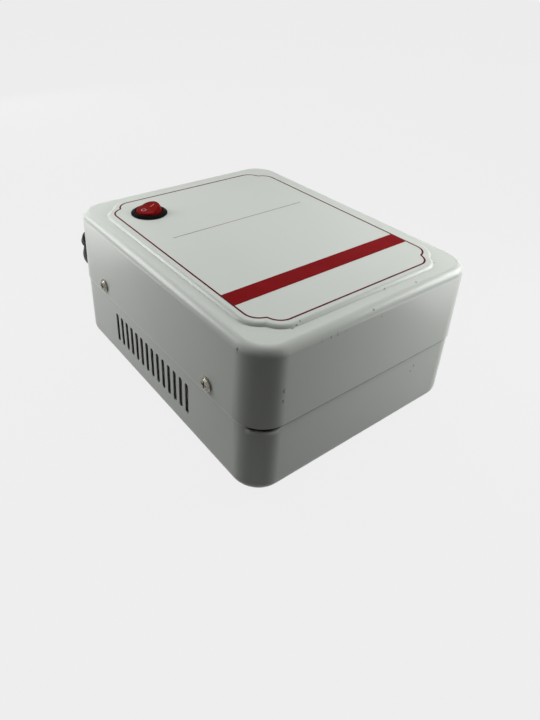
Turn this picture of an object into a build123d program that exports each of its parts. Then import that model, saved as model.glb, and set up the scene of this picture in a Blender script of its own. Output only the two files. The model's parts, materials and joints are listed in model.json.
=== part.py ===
"""Travel voltage converter: a bench-top 220 V to 110 V step-down box, in millimetres.

Two drawn steel shells meet at a joggled seam. The cover carries the power switch on top and the
sockets, the overload breaker and the mains lead on its rear wall. The vented tray below carries
a toroidal transformer, a terminal block and four rubber feet.

+Z is up, +Y points at the rear wall, and the origin is on the table under the middle of the case.
"""
import os
from math import cos, pi, radians, sin, sqrt, tan

from build123d import *

os.makedirs("parts", exist_ok=True)

# Case
case_width = 160.0
case_length = 200.0
tray_height = 46.0
cover_height = 47.0
cover_corner = 18.5
cover_fillet = 5.0
tray_inset = 0.75
tray_corner = 17.0
tray_fillet = 7.0
sheet = 1.2
draft_angle = 0.45
seam_gap = 0.4
overrun = 1.0

# Rubber feet, which lift the tray off the table
foot_radius = 8.0
foot_drop = 3.0
foot_edge = 0.6
foot_inset_x = 21.0
foot_inset_y = 22.0
foot_recess_radius = 3.3
foot_recess_depth = 1.8
foot_screw_radius = 1.5
foot_screw_head_radius = 2.8
foot_screw_head_height = 1.5
foot_nut_flats = 5.5
foot_nut_height = 2.4
screw_tip = 0.8

# Joggled lip of the tray, inside the cover
lip_height = 9.0
lip_root = 2.0
lip_gap = 0.25

# Raised panel on the cover and the corner lobes of its outline
line_inset_x = 15.6
line_inset_y = 16.4
lobe_radius = 8.6
lobe_step = 7.3
line_shift_y = -0.5
emboss_margin = 4.95
emboss_rise = 1.6
emboss_bevel = 1.35

# Case screws in the side walls
case_screw_inset = 40.7
case_screw_above_seam = 6.3
case_screw_radius = 2.0
case_screw_head_radius = 4.35
case_screw_flange = 0.7
case_screw_dome_radius = 3.5
case_screw_dome = 1.2
case_screw_dome_angle = 25.0
case_screw_length = 7.0
cross_width = 1.0
cross_span = 4.2
cross_depth = 1.1
case_nut_radius = 3.9
case_nut_height = 3.2
screw_play = 0.05
hole_play = 0.2

# Vent slots in both side walls of the tray
vent_count = 14
vent_pitch = 6.46
vent_width = 3.3
vent_length = 21.6
vent_middle_y = 3.85
vent_middle_height = 26.4

# Power switch
switch_inset_x = 35.8
switch_inset_y = 39.2
switch_flange_radius = 11.7
switch_lip_radius = 9.7
switch_flange = 1.7
switch_flange_edge = 0.4
switch_barrel_radius = 10.0
switch_barrel_depth = 15.0
switch_bore_radius = 8.9
switch_bore_depth = 12.0
switch_clip_width = 4.0
switch_clip_height = 5.0
switch_clip_proud = 0.8
rocker_radius = 8.5
rocker_pivot_drop = 1.6
rocker_valley = 3.0
rocker_wing_angle = 10.5
rocker_tilt_angle = 14.5
rocker_foot = 6.0
rocker_edge = 1.0
trunnion_radius = 0.8
trunnion_length = 0.9
trunnion_play = 0.05
tab_width = 4.8
tab_thickness = 0.8
tab_length = 8.0
switch_tab_spacing_x = 9.0
switch_tab_spacing_y = 8.0

# Rear wall: the lead by one side, the last socket by the other, and shares of the way between
lead_inset = 27.9
lead_above_seam = 19.1
socket_inset = 36.5
breaker_place_share = 0.25
socket_place_share = 0.585
panel_above_seam = 27.0

# Overload breaker
breaker_neck_radius = 5.4
breaker_neck_length = 7.5
breaker_body_width = 13.0
breaker_body_height = 29.0
breaker_body_depth = 24.0
breaker_nut_flats = 15.0
breaker_nut_height = 2.4
breaker_button_radius = 3.3
breaker_button_play = 0.08
breaker_button_proud = 2.6
breaker_button_stem = 9.0
breaker_button_edge = 0.6
breaker_tab_spacing = 16.0

# Three-pin sockets
socket_flange_width = 28.0
socket_flange_height = 30.0
socket_flange = 2.6
socket_flange_corner = 4.0
socket_flange_edge = 0.8
socket_body_width = 24.0
socket_body_height = 26.0
socket_body_depth = 21.0
socket_body_corner = 2.0
blade_spacing = 12.7
blade_slot_width = 1.9
line_blade_height = 7.0
neutral_blade_height = 8.6
blade_depth = 17.5
blade_above_middle = 4.0
earth_below_blades = 11.9
earth_hole_radius = 2.5
earth_hole_depth = 17.5
contact_leaf = 0.6
contact_height = 6.0
contact_inset = 4.0

# Mains lead and its strain relief
cord_radius = 4.25
lead_first_run = 10.8
lead_last_run = 17.0
tail_first_run = 17.0
tail_last_run = 14.0
relief_flange_radius = 8.6
relief_flange = 3.0
relief_neck_radius = 6.4
relief_neck_inside = 7.0
relief_nut_radius = 9.0
relief_nut_height = 3.5
relief_bend_radius = 50.0
relief_bend_angle = 60.0
relief_root_radius = 7.6
relief_tip_radius = 5.7
relief_ring_radius = 7.1
relief_ring_length = 5.5
relief_groove = 1.1
relief_rib_count = 7

# Coil of the spare lead
coil_x = 30.0
coil_y = 188.0
coil_radius = 58.0
coil_gap = 0.6
coil_start_angle = 147.0
coil_layer_quarters = 6
coil_climb_quarters = 2
coil_return_quarters = 5
coil_samples_per_turn = 240

# Earthed mains plug on the end of the lead
plug_x = 111.0
plug_tail_y = 158.0
plug_radius = 18.5
plug_nose = 8.0
plug_shoulder = 12.0
plug_waist_radius = 14.0
plug_waist_length = 13.0
plug_back_radius = 11.5
plug_back_length = 9.0
plug_tail_radius = 6.6
plug_tail_tip_radius = 5.2
plug_tail_length = 20.0
plug_edge = 1.2
plug_pin_radius = 2.4
plug_pin_length = 19.0
plug_pin_spacing = 19.0
plug_notch_width = 9.0
plug_notch_depth = 1.6
plug_clip_width = 5.0
plug_clip_thickness = 0.8
plug_clip_length = 14.0

# Toroidal transformer
toroid_y = -20.0
winding_outer_radius = 60.0
winding_inner_radius = 20.0
winding_height = 60.0
winding_edge = 11.0
winding_wall = 8.0
pad_outer_radius = 44.0
pad_inner_radius = 8.0
pad_thickness = 2.0
clamp_radius = 40.0
clamp_thickness = 1.6
clamp_dish_radius = 15.0
clamp_dish_ramp = 5.0
clamp_dish_depth = 4.0
bolt_radius = 4.0
bolt_head_radius = 8.0
bolt_head_height = 2.2
bolt_play = 0.3
bolt_nut_flats = 13.0
bolt_nut_height = 6.5
bolt_tip = 3.0

# Terminal block and earth stud on the tray floor
block_inset_x = 58.0
block_inset_y = 26.0
block_width = 56.0
block_depth = 20.0
block_base = 4.0
block_height = 15.0
block_way_count = 5
block_wall = 1.4
block_screw_radius = 2.6
block_screw_height = 2.0
block_strap_width = 7.0
block_strap_thickness = 0.8
stud_inset_x = 40.0
stud_inset_y = 22.0
stud_radius = 2.0
stud_height = 14.0
stud_head_radius = 4.0
stud_head_height = 1.5
stud_nut_flats = 7.0
stud_nut_height = 3.2
stud_tag_radius = 4.2
stud_tag_thickness = 0.8
stud_tag_length = 16.0
stud_tag_width = 4.4

# Heights and wall places that follow
parting_z = foot_drop + tray_height
cover_top = parting_z + cover_height
panel_top = cover_top + emboss_rise
floor_z = foot_drop + sheet
half_width = case_width / 2
half_length = case_length / 2
line_half_x = half_width - line_inset_x
line_half_y = half_length - line_inset_y
tray_width = case_width - 2 * tray_inset
tray_length = case_length - 2 * tray_inset
draft = tan(radians(draft_angle))
case_screw_z = parting_z + case_screw_above_seam
panel_z = parting_z + panel_above_seam
lead_z = parting_z + lead_above_seam
case_screw_y = half_length - case_screw_inset
switch_x = switch_inset_x - half_width
switch_y = half_length - switch_inset_y
lead_x = lead_inset - half_width
socket_last_x = half_width - socket_inset
rear_run = socket_last_x - lead_x
breaker_x = lead_x + breaker_place_share * rear_run
block_x = block_inset_x - half_width
block_y = half_length - block_inset_y
stud_x = half_width - stud_inset_x
stud_y = half_length - stud_inset_y
side_seat = half_width - (case_screw_above_seam - case_screw_head_radius) * draft
rear_seat = half_length - (panel_above_seam - socket_flange_height / 2) * draft
wall_inside = half_length - sheet - (cover_height - cover_fillet) * draft
foot_places = [
    (sx * (half_width - foot_inset_x), sy * (half_length - foot_inset_y))
    for sx in (-1, 1) for sy in (-1, 1)
]
socket_places = [lead_x + socket_place_share * rear_run, socket_last_x]
side_signs = (-1, 1)


def hexagon(flats):
    """Radius over the corners of a hexagon with this size across its flats."""
    return flats / sqrt(3)


def lobed_outline(grow):
    """Rectangle whose corners are two round lobes with a notch between them."""
    side_x = line_half_x - lobe_radius
    side_y = line_half_y - lobe_radius
    with Locations((0, line_shift_y)):
        Rectangle(2 * (line_half_x + grow), 2 * (side_y - lobe_step))
        Rectangle(2 * (side_x - lobe_step), 2 * (line_half_y + grow))
        with GridLocations(2 * side_x, 2 * (side_y - lobe_step), 2, 2):
            Circle(lobe_radius + grow)
        with GridLocations(2 * (side_x - lobe_step), 2 * side_y, 2, 2):
            Circle(lobe_radius + grow)


def rear_plane(x, y, z):
    """Sketch plane on the rear wall that faces +Y, with its own Y axis up."""
    return Plane(origin=(x, y, z), x_dir=(-1, 0, 0), z_dir=(0, 1, 0))


def side_plane(sign, x, y, z):
    """Sketch plane on a side wall that faces outwards along X."""
    return Plane(origin=(sign * x, y, z), x_dir=(0, sign, 0), z_dir=(sign, 0, 0))


def drawn_body(z, width, length, corner, rise, edge):
    """Box drawn up or down from height z, with leaning walls and a rounded far edge."""
    with BuildPart() as body:
        with BuildSketch(Plane.XY.offset(z)):
            RectangleRounded(width, length, corner)
        extrude(amount=rise, taper=draft_angle)
        fillet(body.faces().sort_by(Axis.Z)[-1 if rise > 0 else 0].edges(), edge)
    return body.part


# Top cover: a drawn shell with the raised panel
cover_outside = drawn_body(
    parting_z, case_width, case_length, cover_corner, cover_height, cover_fillet
)
cover_inside = drawn_body(
    parting_z,
    case_width - 2 * sheet,
    case_length - 2 * sheet,
    cover_corner - sheet,
    cover_height - sheet,
    cover_fillet - sheet,
)
with BuildPart() as top_cover:
    add(cover_outside)
    add(cover_inside, mode=Mode.SUBTRACT)
    with BuildSketch(Plane.XY.offset(cover_top - sheet / 2)):
        lobed_outline(emboss_margin)
    extrude(amount=emboss_rise + sheet / 2 - emboss_bevel)
    for height, grow in ((emboss_rise - emboss_bevel, 0), (emboss_rise, -emboss_bevel)):
        with BuildSketch(Plane.XY.offset(cover_top + height)):
            lobed_outline(emboss_margin + grow)
    loft(ruled=True)
    with BuildSketch(Plane.XY.offset(panel_top - sheet)):
        lobed_outline(emboss_margin - sheet)
    extrude(amount=-(emboss_rise + sheet / 2), mode=Mode.SUBTRACT)
    with BuildSketch(Plane.XY.offset(panel_top + overrun)):
        with Locations((switch_x, switch_y)):
            Circle(switch_barrel_radius + hole_play)
    extrude(amount=-(sheet + emboss_rise + 2 * overrun), mode=Mode.SUBTRACT)
    for y in (-case_screw_y, case_screw_y):
        with BuildSketch(side_plane(-1, half_width + overrun, y, case_screw_z)):
            Circle(case_screw_radius + hole_play)
        extrude(amount=-(case_width + 2 * overrun), mode=Mode.SUBTRACT)
    with BuildSketch(rear_plane(lead_x, half_length + overrun, lead_z)):
        Circle(relief_neck_radius + hole_play)
    extrude(amount=-(sheet + 2 * overrun), mode=Mode.SUBTRACT)
    with BuildSketch(rear_plane(breaker_x, half_length + overrun, panel_z)):
        Circle(breaker_neck_radius + hole_play)
    extrude(amount=-(sheet + 2 * overrun), mode=Mode.SUBTRACT)
    for x in socket_places:
        with BuildSketch(rear_plane(x, half_length + overrun, panel_z)):
            RectangleRounded(
                socket_body_width + 2 * hole_play,
                socket_body_height + 2 * hole_play,
                socket_body_corner + hole_play,
            )
        extrude(amount=-(sheet + 2 * overrun), mode=Mode.SUBTRACT)
top_cover.part.label = "top_cover"
export_step(top_cover.part, "parts/top_cover.step")

# Bottom tray: the lower shell, its joggled lip, vents and floor holes
lip_width = case_width - 2 * (sheet + lip_gap)
lip_length = case_length - 2 * (sheet + lip_gap)
lip_corner = cover_corner - sheet - lip_gap
seam_z = parting_z - seam_gap
tray_depth = tray_height - seam_gap
tray_outside = drawn_body(seam_z, tray_width, tray_length, tray_corner, -tray_depth, tray_fillet)
tray_inside = drawn_body(
    seam_z,
    tray_width - 2 * sheet,
    tray_length - 2 * sheet,
    tray_corner - sheet,
    sheet - tray_depth,
    tray_fillet - sheet,
)
with BuildPart() as bottom_tray:
    add(tray_outside)
    add(tray_inside, mode=Mode.SUBTRACT)
    with BuildSketch(Plane.XY.offset(parting_z - lip_root)):
        RectangleRounded(lip_width, lip_length, lip_corner)
        RectangleRounded(
            lip_width - 2 * sheet, lip_length - 2 * sheet, lip_corner - sheet, mode=Mode.SUBTRACT
        )
    extrude(amount=lip_root + lip_height)
    with BuildSketch(Plane.YZ.offset(-half_width - overrun)):
        with Locations((vent_middle_y, foot_drop + vent_middle_height)):
            with GridLocations(vent_pitch, vent_length, vent_count, 1):
                SlotOverall(vent_length, vent_width, rotation=90)
    extrude(amount=case_width + 2 * overrun, mode=Mode.SUBTRACT)
    for y in (-case_screw_y, case_screw_y):
        with BuildSketch(side_plane(-1, half_width + overrun, y, case_screw_z)):
            Circle(case_screw_radius + hole_play)
        extrude(amount=-(case_width + 2 * overrun), mode=Mode.SUBTRACT)
    with BuildSketch(Plane.XY.offset(foot_drop - overrun)):
        with Locations(*foot_places):
            Circle(foot_screw_radius + hole_play)
        with Locations((0, toroid_y)):
            Circle(bolt_radius + hole_play)
        with Locations((stud_x, stud_y)):
            Circle(stud_radius + hole_play)
    extrude(amount=sheet + 2 * overrun, mode=Mode.SUBTRACT)
bottom_tray.part.label = "bottom_tray"
export_step(bottom_tray.part, "parts/bottom_tray.step")

# Washer-head screws that hold the cover to the lip
with BuildPart() as case_screws:
    for sign in side_signs:
        for y in (-case_screw_y, case_screw_y):
            seat = side_plane(sign, side_seat, y, case_screw_z)
            with BuildSketch(seat):
                Circle(case_screw_head_radius)
            extrude(amount=case_screw_flange)
            with BuildSketch(seat.offset(case_screw_flange)):
                Circle(case_screw_dome_radius)
            extrude(amount=case_screw_dome, taper=case_screw_dome_angle)
            with BuildSketch(seat):
                Circle(case_screw_radius - screw_play)
            extrude(amount=-case_screw_length)
            with BuildSketch(seat.offset(case_screw_flange + case_screw_dome)):
                Rectangle(cross_span, cross_width)
                Rectangle(cross_width, cross_span)
            extrude(amount=-cross_depth, mode=Mode.SUBTRACT)
case_screws.part.label = "case_screws"
export_step(case_screws.part, "parts/case_screws.step")

# Clinch nuts on the inside of the lip
with BuildPart() as case_nuts:
    for sign in side_signs:
        for y in (-case_screw_y, case_screw_y):
            with BuildSketch(side_plane(sign, lip_width / 2 - sheet, y, case_screw_z)):
                Circle(case_nut_radius)
                Circle(case_screw_radius, mode=Mode.SUBTRACT)
            extrude(amount=-case_nut_height)
case_nuts.part.label = "case_nuts"
export_step(case_nuts.part, "parts/case_nuts.step")

# Feet, their screws and nuts
with BuildPart() as feet:
    with BuildSketch():
        with Locations(*foot_places):
            Circle(foot_radius)
    extrude(amount=foot_drop)
    fillet(feet.faces().group_by(Axis.Z)[0].edges(), foot_edge)
    with BuildSketch():
        with Locations(*foot_places):
            Circle(foot_recess_radius)
    extrude(amount=foot_recess_depth, mode=Mode.SUBTRACT)
    with BuildSketch():
        with Locations(*foot_places):
            Circle(foot_screw_radius + hole_play)
    extrude(amount=foot_drop, mode=Mode.SUBTRACT)
feet.part.label = "feet"
export_step(feet.part, "parts/feet.step")

with BuildPart() as foot_screws:
    with BuildSketch(Plane.XY.offset(foot_recess_depth)):
        with Locations(*foot_places):
            Circle(foot_screw_head_radius)
    extrude(amount=-foot_screw_head_height)
    with BuildSketch(Plane.XY.offset(foot_recess_depth)):
        with Locations(*foot_places):
            Circle(foot_screw_radius - screw_play)
    extrude(amount=floor_z + foot_nut_height + screw_tip - foot_recess_depth)
foot_screws.part.label = "foot_screws"
export_step(foot_screws.part, "parts/foot_screws.step")

with BuildPart() as foot_nuts:
    with BuildSketch(Plane.XY.offset(floor_z)):
        with Locations(*foot_places):
            RegularPolygon(hexagon(foot_nut_flats), 6)
            Circle(foot_screw_radius, mode=Mode.SUBTRACT)
    extrude(amount=foot_nut_height)
foot_nuts.part.label = "foot_nuts"
export_step(foot_nuts.part, "parts/foot_nuts.step")

# Power switch: a round snap-in housing with a rocker on two trunnions
pivot_z = panel_top + switch_flange - rocker_pivot_drop
with BuildPart() as switch_housing:
    with BuildSketch(Plane.XY.offset(panel_top)):
        with Locations((switch_x, switch_y)):
            Circle(switch_flange_radius)
    extrude(amount=switch_flange_edge)
    with Locations((switch_x, switch_y, panel_top + switch_flange_edge)):
        Cone(
            switch_flange_radius,
            switch_lip_radius,
            switch_flange - switch_flange_edge,
            align=(Align.CENTER, Align.CENTER, Align.MIN),
        )
    with BuildSketch(Plane.XY.offset(panel_top)):
        with Locations((switch_x, switch_y)):
            Circle(switch_barrel_radius)
    extrude(amount=-switch_barrel_depth)
    with BuildSketch(Plane.XY.offset(panel_top - sheet)):
        with Locations((switch_x, switch_y)):
            Rectangle(2 * (switch_barrel_radius + switch_clip_proud), switch_clip_width)
    extrude(amount=-switch_clip_height)
    with BuildSketch(Plane.XY.offset(panel_top + switch_flange)):
        with Locations((switch_x, switch_y)):
            Circle(switch_bore_radius)
    extrude(amount=-switch_bore_depth, mode=Mode.SUBTRACT)
    with BuildSketch(Plane.XZ.offset(-switch_y)):
        with Locations((switch_x, pivot_z)):
            Circle(trunnion_radius + trunnion_play)
    extrude(
        amount=rocker_radius + trunnion_length + hole_play / 2, both=True, mode=Mode.SUBTRACT
    )
switch_housing.part.label = "switch_housing"
export_step(switch_housing.part, "parts/switch_housing.step")

tilt = radians(rocker_tilt_angle)
wing = rocker_radius + overrun
wing_rise = wing * tan(radians(rocker_wing_angle))
with BuildPart() as rocker:
    with BuildSketch(
        Plane(origin=(switch_x, switch_y, pivot_z), x_dir=(cos(tilt), 0, sin(tilt)), z_dir=(0, -1, 0))
    ):
        with BuildLine():
            Polyline(
                (0, rocker_valley),
                (wing, rocker_valley + wing_rise),
                (wing, -rocker_foot),
                (-wing, -rocker_foot),
                (-wing, rocker_valley + wing_rise),
                close=True,
            )
        make_face()
    extrude(amount=wing, both=True)
    with Locations((switch_x, switch_y, pivot_z)):
        Sphere(rocker_radius, mode=Mode.INTERSECT)
    wing_faces = rocker.faces().filter_by(GeomType.PLANE).sort_by(Axis.Z)[-2:]
    fillet(wing_faces.edges().filter_by(GeomType.CIRCLE), rocker_edge)
    with BuildSketch(Plane.XZ.offset(-switch_y)):
        with Locations((switch_x, pivot_z)):
            Circle(trunnion_radius)
    extrude(amount=rocker_radius + trunnion_length, both=True)
rocker.part.label = "rocker"
export_step(rocker.part, "parts/rocker.step")

with BuildPart() as switch_tabs:
    with BuildSketch(Plane.XY.offset(panel_top - switch_barrel_depth)):
        with Locations((switch_x, switch_y)):
            with GridLocations(switch_tab_spacing_x, switch_tab_spacing_y, 2, 2):
                Rectangle(tab_thickness, tab_width)
    extrude(amount=-tab_length)
switch_tabs.part.label = "switch_tabs"
export_step(switch_tabs.part, "parts/switch_tabs.step")

# Sockets: a snap-in body with two blade slots over a round earth hole, and brass contacts
blade_z = panel_z + blade_above_middle
earth_z = blade_z - earth_below_blades
blade_sides = ((-1, line_blade_height), (1, neutral_blade_height))
for i, x in enumerate(socket_places, start=1):
    face_y = rear_seat + socket_flange
    back_y = wall_inside - socket_body_depth
    with BuildPart() as socket:
        with BuildSketch(rear_plane(x, rear_seat, panel_z)):
            RectangleRounded(socket_flange_width, socket_flange_height, socket_flange_corner)
        extrude(amount=socket_flange)
        fillet(socket.faces().sort_by(Axis.Y)[-1].edges(), socket_flange_edge)
        with BuildSketch(rear_plane(x, rear_seat, panel_z)):
            RectangleRounded(socket_body_width, socket_body_height, socket_body_corner)
        extrude(amount=-(rear_seat - back_y))
        for side, height in blade_sides:
            with BuildSketch(rear_plane(x + side * blade_spacing / 2, face_y, blade_z)):
                Rectangle(blade_slot_width, height)
            extrude(amount=-blade_depth, mode=Mode.SUBTRACT)
            leaf_x = x + side * (blade_spacing + blade_slot_width + contact_leaf) / 2
            with BuildSketch(rear_plane(leaf_x, back_y, blade_z)):
                Rectangle(contact_leaf, contact_height)
            extrude(amount=face_y - contact_inset - back_y, mode=Mode.SUBTRACT)
        with BuildSketch(rear_plane(x, face_y, earth_z)):
            Circle(earth_hole_radius)
        extrude(amount=-earth_hole_depth, mode=Mode.SUBTRACT)
    socket.part.label = f"socket_{i}"
    export_step(socket.part, f"parts/socket_{i}.step")

    with BuildPart() as socket_contacts:
        for side, height in blade_sides:
            leaf_x = x + side * (blade_spacing + blade_slot_width + contact_leaf) / 2
            with BuildSketch(rear_plane(leaf_x, back_y - tab_length, blade_z)):
                Rectangle(contact_leaf, contact_height)
            extrude(amount=face_y - contact_inset - back_y + tab_length)
        with BuildSketch(rear_plane(x, back_y, earth_z)):
            Rectangle(tab_width, tab_thickness)
        extrude(amount=-tab_length)
    socket_contacts.part.label = f"socket_{i}_contacts"
    export_step(socket_contacts.part, f"parts/socket_{i}_contacts.step")

# Overload breaker: its body behind the wall, a threaded neck with a nut, and the reset button
neck_end = rear_seat + breaker_neck_length
with BuildPart() as breaker_body:
    with BuildSketch(rear_plane(breaker_x, wall_inside, panel_z)):
        Rectangle(breaker_body_width, breaker_body_height)
    extrude(amount=-breaker_body_depth)
    with BuildSketch(rear_plane(breaker_x, wall_inside, panel_z)):
        Circle(breaker_neck_radius)
    extrude(amount=neck_end - wall_inside)
    with BuildSketch(rear_plane(breaker_x, neck_end, panel_z)):
        Circle(breaker_button_radius + breaker_button_play)
    extrude(amount=-(breaker_button_stem + hole_play), mode=Mode.SUBTRACT)
breaker_body.part.label = "breaker_body"
export_step(breaker_body.part, "parts/breaker_body.step")

with BuildPart() as breaker_nut:
    with BuildSketch(rear_plane(breaker_x, rear_seat, panel_z)):
        RegularPolygon(hexagon(breaker_nut_flats), 6, rotation=30)
        Circle(breaker_neck_radius + screw_play, mode=Mode.SUBTRACT)
    extrude(amount=breaker_nut_height)
breaker_nut.part.label = "breaker_nut"
export_step(breaker_nut.part, "parts/breaker_nut.step")

with BuildPart() as breaker_button:
    with BuildSketch(rear_plane(breaker_x, neck_end - breaker_button_stem, panel_z)):
        Circle(breaker_button_radius)
    extrude(amount=breaker_button_stem + breaker_button_proud)
    fillet(breaker_button.faces().sort_by(Axis.Y)[-1].edges(), breaker_button_edge)
breaker_button.part.label = "breaker_button"
export_step(breaker_button.part, "parts/breaker_button.step")

with BuildPart() as breaker_tabs:
    with BuildSketch(rear_plane(breaker_x, wall_inside - breaker_body_depth, panel_z)):
        for sign in side_signs:
            with Locations((0, sign * breaker_tab_spacing / 2)):
                Rectangle(tab_width, tab_thickness)
    extrude(amount=-tab_length)
breaker_tabs.part.label = "breaker_tabs"
export_step(breaker_tabs.part, "parts/breaker_tabs.step")

# Strain relief: a bushing through the wall and a ribbed sleeve that droops with the lead
relief_seat = half_length - (lead_above_seam - relief_flange_radius) * draft
sleeve_root = relief_seat + relief_flange


def sleeve_plane(angle):
    """Section plane of the drooping sleeve after this much of its bend, in radians."""
    return Plane(
        origin=(
            lead_x,
            sleeve_root + relief_bend_radius * sin(angle),
            lead_z - relief_bend_radius * (1 - cos(angle)),
        ),
        x_dir=(1, 0, 0),
        z_dir=(0, cos(angle), -sin(angle)),
    )


bend = radians(relief_bend_angle)
ring_bend = relief_ring_length / relief_bend_radius
rib_bend = (bend - ring_bend) / relief_rib_count
rib_shares = ((0.0, 0.0), (0.55, 0.0), (0.6, 1.0), (0.95, 1.0))
with BuildPart() as strain_relief:
    for k in range(relief_rib_count):
        for share, depth in rib_shares:
            angle = (k + share) * rib_bend
            body = relief_root_radius + (relief_tip_radius - relief_root_radius) * angle / bend
            with BuildSketch(sleeve_plane(angle)):
                Circle(body - depth * relief_groove)
    with BuildSketch(sleeve_plane(bend - ring_bend)):
        Circle(relief_ring_radius)
    with BuildSketch(sleeve_plane(bend)):
        Circle(relief_ring_radius)
    loft(ruled=True)
    with BuildSketch(rear_plane(lead_x, relief_seat, lead_z)):
        Circle(relief_flange_radius)
    extrude(amount=relief_flange)
    with BuildSketch(rear_plane(lead_x, relief_seat, lead_z)):
        Circle(relief_neck_radius)
    extrude(amount=-(sheet + relief_neck_inside))
strain_relief.part.label = "strain_relief"
export_step(strain_relief.part, "parts/strain_relief.step")

with BuildPart() as relief_nut:
    with BuildSketch(rear_plane(lead_x, wall_inside, lead_z)):
        RegularPolygon(relief_nut_radius, 6, rotation=30)
        Circle(relief_neck_radius + screw_play, mode=Mode.SUBTRACT)
    extrude(amount=-relief_nut_height)
relief_nut.part.label = "relief_nut"
export_step(relief_nut.part, "parts/relief_nut.step")


# Mains lead
def bend_radii(points):
    """Largest arc radius that each corner of a route allows."""
    radii = []
    for a, b, c in zip(points, points[1:], points[2:]):
        before, after = Vector(*b) - Vector(*a), Vector(*c) - Vector(*b)
        run = min(before.length, after.length)
        radii.append(0.45 * run / tan(radians(before.get_angle(after)) / 2))
    return radii


# Coil: its first layer spirals in on the table, climbs, and a second spirals out on top of it
layer_rise = 2 * cord_radius + coil_gap
quarter_step = layer_rise / 4
reversal = coil_layer_quarters + coil_climb_quarters / 2
knots = []
for k in range(coil_layer_quarters + coil_climb_quarters + coil_return_quarters + 1):
    climbed = min(max(k - coil_layer_quarters, 0), coil_climb_quarters)
    radius = coil_radius - (reversal - abs(k - reversal)) * quarter_step
    angle = radians(coil_start_angle - 90 * k)
    slope = 2 * layer_rise / (pi * radius) if 0 < climbed < coil_climb_quarters else 0
    knots.append((
        Vector(
            coil_x + radius * cos(angle),
            coil_y + radius * sin(angle),
            cord_radius + layer_rise * climbed / coil_climb_quarters,
        ),
        Vector(sin(angle), -cos(angle), slope).normalized(),
    ))

sleeve_tip = sleeve_plane(bend).origin
sleeve_way = sleeve_plane(bend).z_dir
coil_start, coil_start_way = knots[0]
lead_points = [
    tuple(sleeve_tip),
    tuple(sleeve_tip + sleeve_way * lead_first_run),
    (-50.1, 159.1, 24.2),
    (-44.1, 170.1, 13.4),
    (-38.6, 185.1, 6.4),
    tuple(coil_start - coil_start_way * lead_last_run),
    tuple(coil_start),
]
lead_radii = bend_radii(lead_points)
with BuildPart() as cord_lead:
    with BuildLine() as lead_path:
        FilletPolyline(*lead_points, radius=lead_radii)
    with BuildSketch(Plane(origin=lead_path.line @ 0, z_dir=lead_path.line % 0)):
        Circle(cord_radius)
    sweep()
cord_lead.part.label = "cord_lead"
export_step(cord_lead.part, "parts/cord_lead.step")


def joint_of(start, start_way, end, end_way):
    """Point where the two arcs of a biarc meet, and their common direction there."""
    chord = end - start
    ways = start_way + end_way
    spread = 2 * (1 - start_way.dot(end_way))
    along = chord.dot(ways)
    reach = (sqrt(along * along + spread * chord.dot(chord)) - along) / spread
    before, after = start + start_way * reach, end - end_way * reach
    return (before + after) * 0.5, (after - before).normalized()


with BuildPart() as cord_coil:
    with BuildLine() as coil_path:
        for (start, start_way), (end, end_way) in zip(knots, knots[1:]):
            middle, middle_way = joint_of(start, start_way, end, end_way)
            TangentArc(start, middle, tangent=start_way)
            TangentArc(middle, end, tangent=middle_way)
    with BuildSketch(Plane(origin=coil_path.line @ 0, z_dir=coil_path.line % 0)):
        Circle(cord_radius)
    sweep()
cord_coil.part.label = "cord_coil"
export_step(cord_coil.part, "parts/cord_coil.step")

coil_turns = (len(knots) - 1) / 4
coil_count = int(coil_turns * coil_samples_per_turn)
coil_samples = [coil_path.line @ (n / coil_count) for n in range(coil_count + 1)]
least_gap = min(
    (a - b).length
    for m, a in enumerate(coil_samples)
    for b in coil_samples[m + coil_samples_per_turn // 2:]
) - 2 * cord_radius

# Tail of the lead, from the top of the coil to the plug
plug_z = plug_radius
coil_end, coil_end_way = knots[-1]
tail_points = [
    tuple(coil_end),
    tuple(coil_end + coil_end_way * tail_first_run),
    (90.0, 214.6, 12.3),
    (102.0, 201.0, 12.3),
    (109.0, 186.0, 14.8),
    (plug_x, plug_tail_y + tail_last_run, plug_z),
    (plug_x, plug_tail_y, plug_z),
]
tail_radii = bend_radii(tail_points)
with BuildPart() as cord_tail:
    with BuildLine() as tail_path:
        FilletPolyline(*tail_points, radius=tail_radii)
    with BuildSketch(Plane(origin=tail_path.line @ 0, z_dir=tail_path.line % 0)):
        Circle(cord_radius)
    sweep()
cord_tail.part.label = "cord_tail"
export_step(cord_tail.part, "parts/cord_tail.step")

# Plug: turned body with a waisted grip and a tail, flat notches for the earth clips, two pins
plug_steps = (
    (0, plug_tail_tip_radius),
    (plug_tail_length, plug_tail_radius),
    (plug_tail_length, plug_back_radius),
    (plug_tail_length + plug_back_length, plug_waist_radius),
    (plug_tail_length + plug_back_length + plug_waist_length, plug_waist_radius),
    (plug_tail_length + plug_back_length + plug_waist_length + plug_shoulder, plug_radius),
)
plug_length = plug_steps[-1][0] + plug_nose
plug_face_y = plug_tail_y - plug_length
with BuildPart() as plug_body:
    with BuildSketch(Plane.XY.offset(plug_z)):
        with BuildLine():
            Polyline(
                (plug_x, plug_tail_y),
                *[(plug_x + radius, plug_tail_y - along) for along, radius in plug_steps],
                (plug_x + plug_radius, plug_face_y),
                (plug_x, plug_face_y),
                close=True,
            )
        make_face()
    revolve(axis=Axis((plug_x, 0, plug_z), (0, 1, 0)))
    fillet(plug_body.faces().sort_by(Axis.Y)[0].edges(), plug_edge)
    for sign in side_signs:
        notch_x = plug_x + sign * (plug_radius - plug_notch_depth)
        with BuildSketch(Plane.XZ.offset(-plug_face_y)):
            with Locations((notch_x + sign * plug_notch_depth, plug_z)):
                Rectangle(2 * plug_notch_depth, plug_notch_width)
        extrude(amount=-(plug_nose + plug_shoulder), mode=Mode.SUBTRACT)
plug_body.part.label = "plug_body"
export_step(plug_body.part, "parts/plug_body.step")

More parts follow.
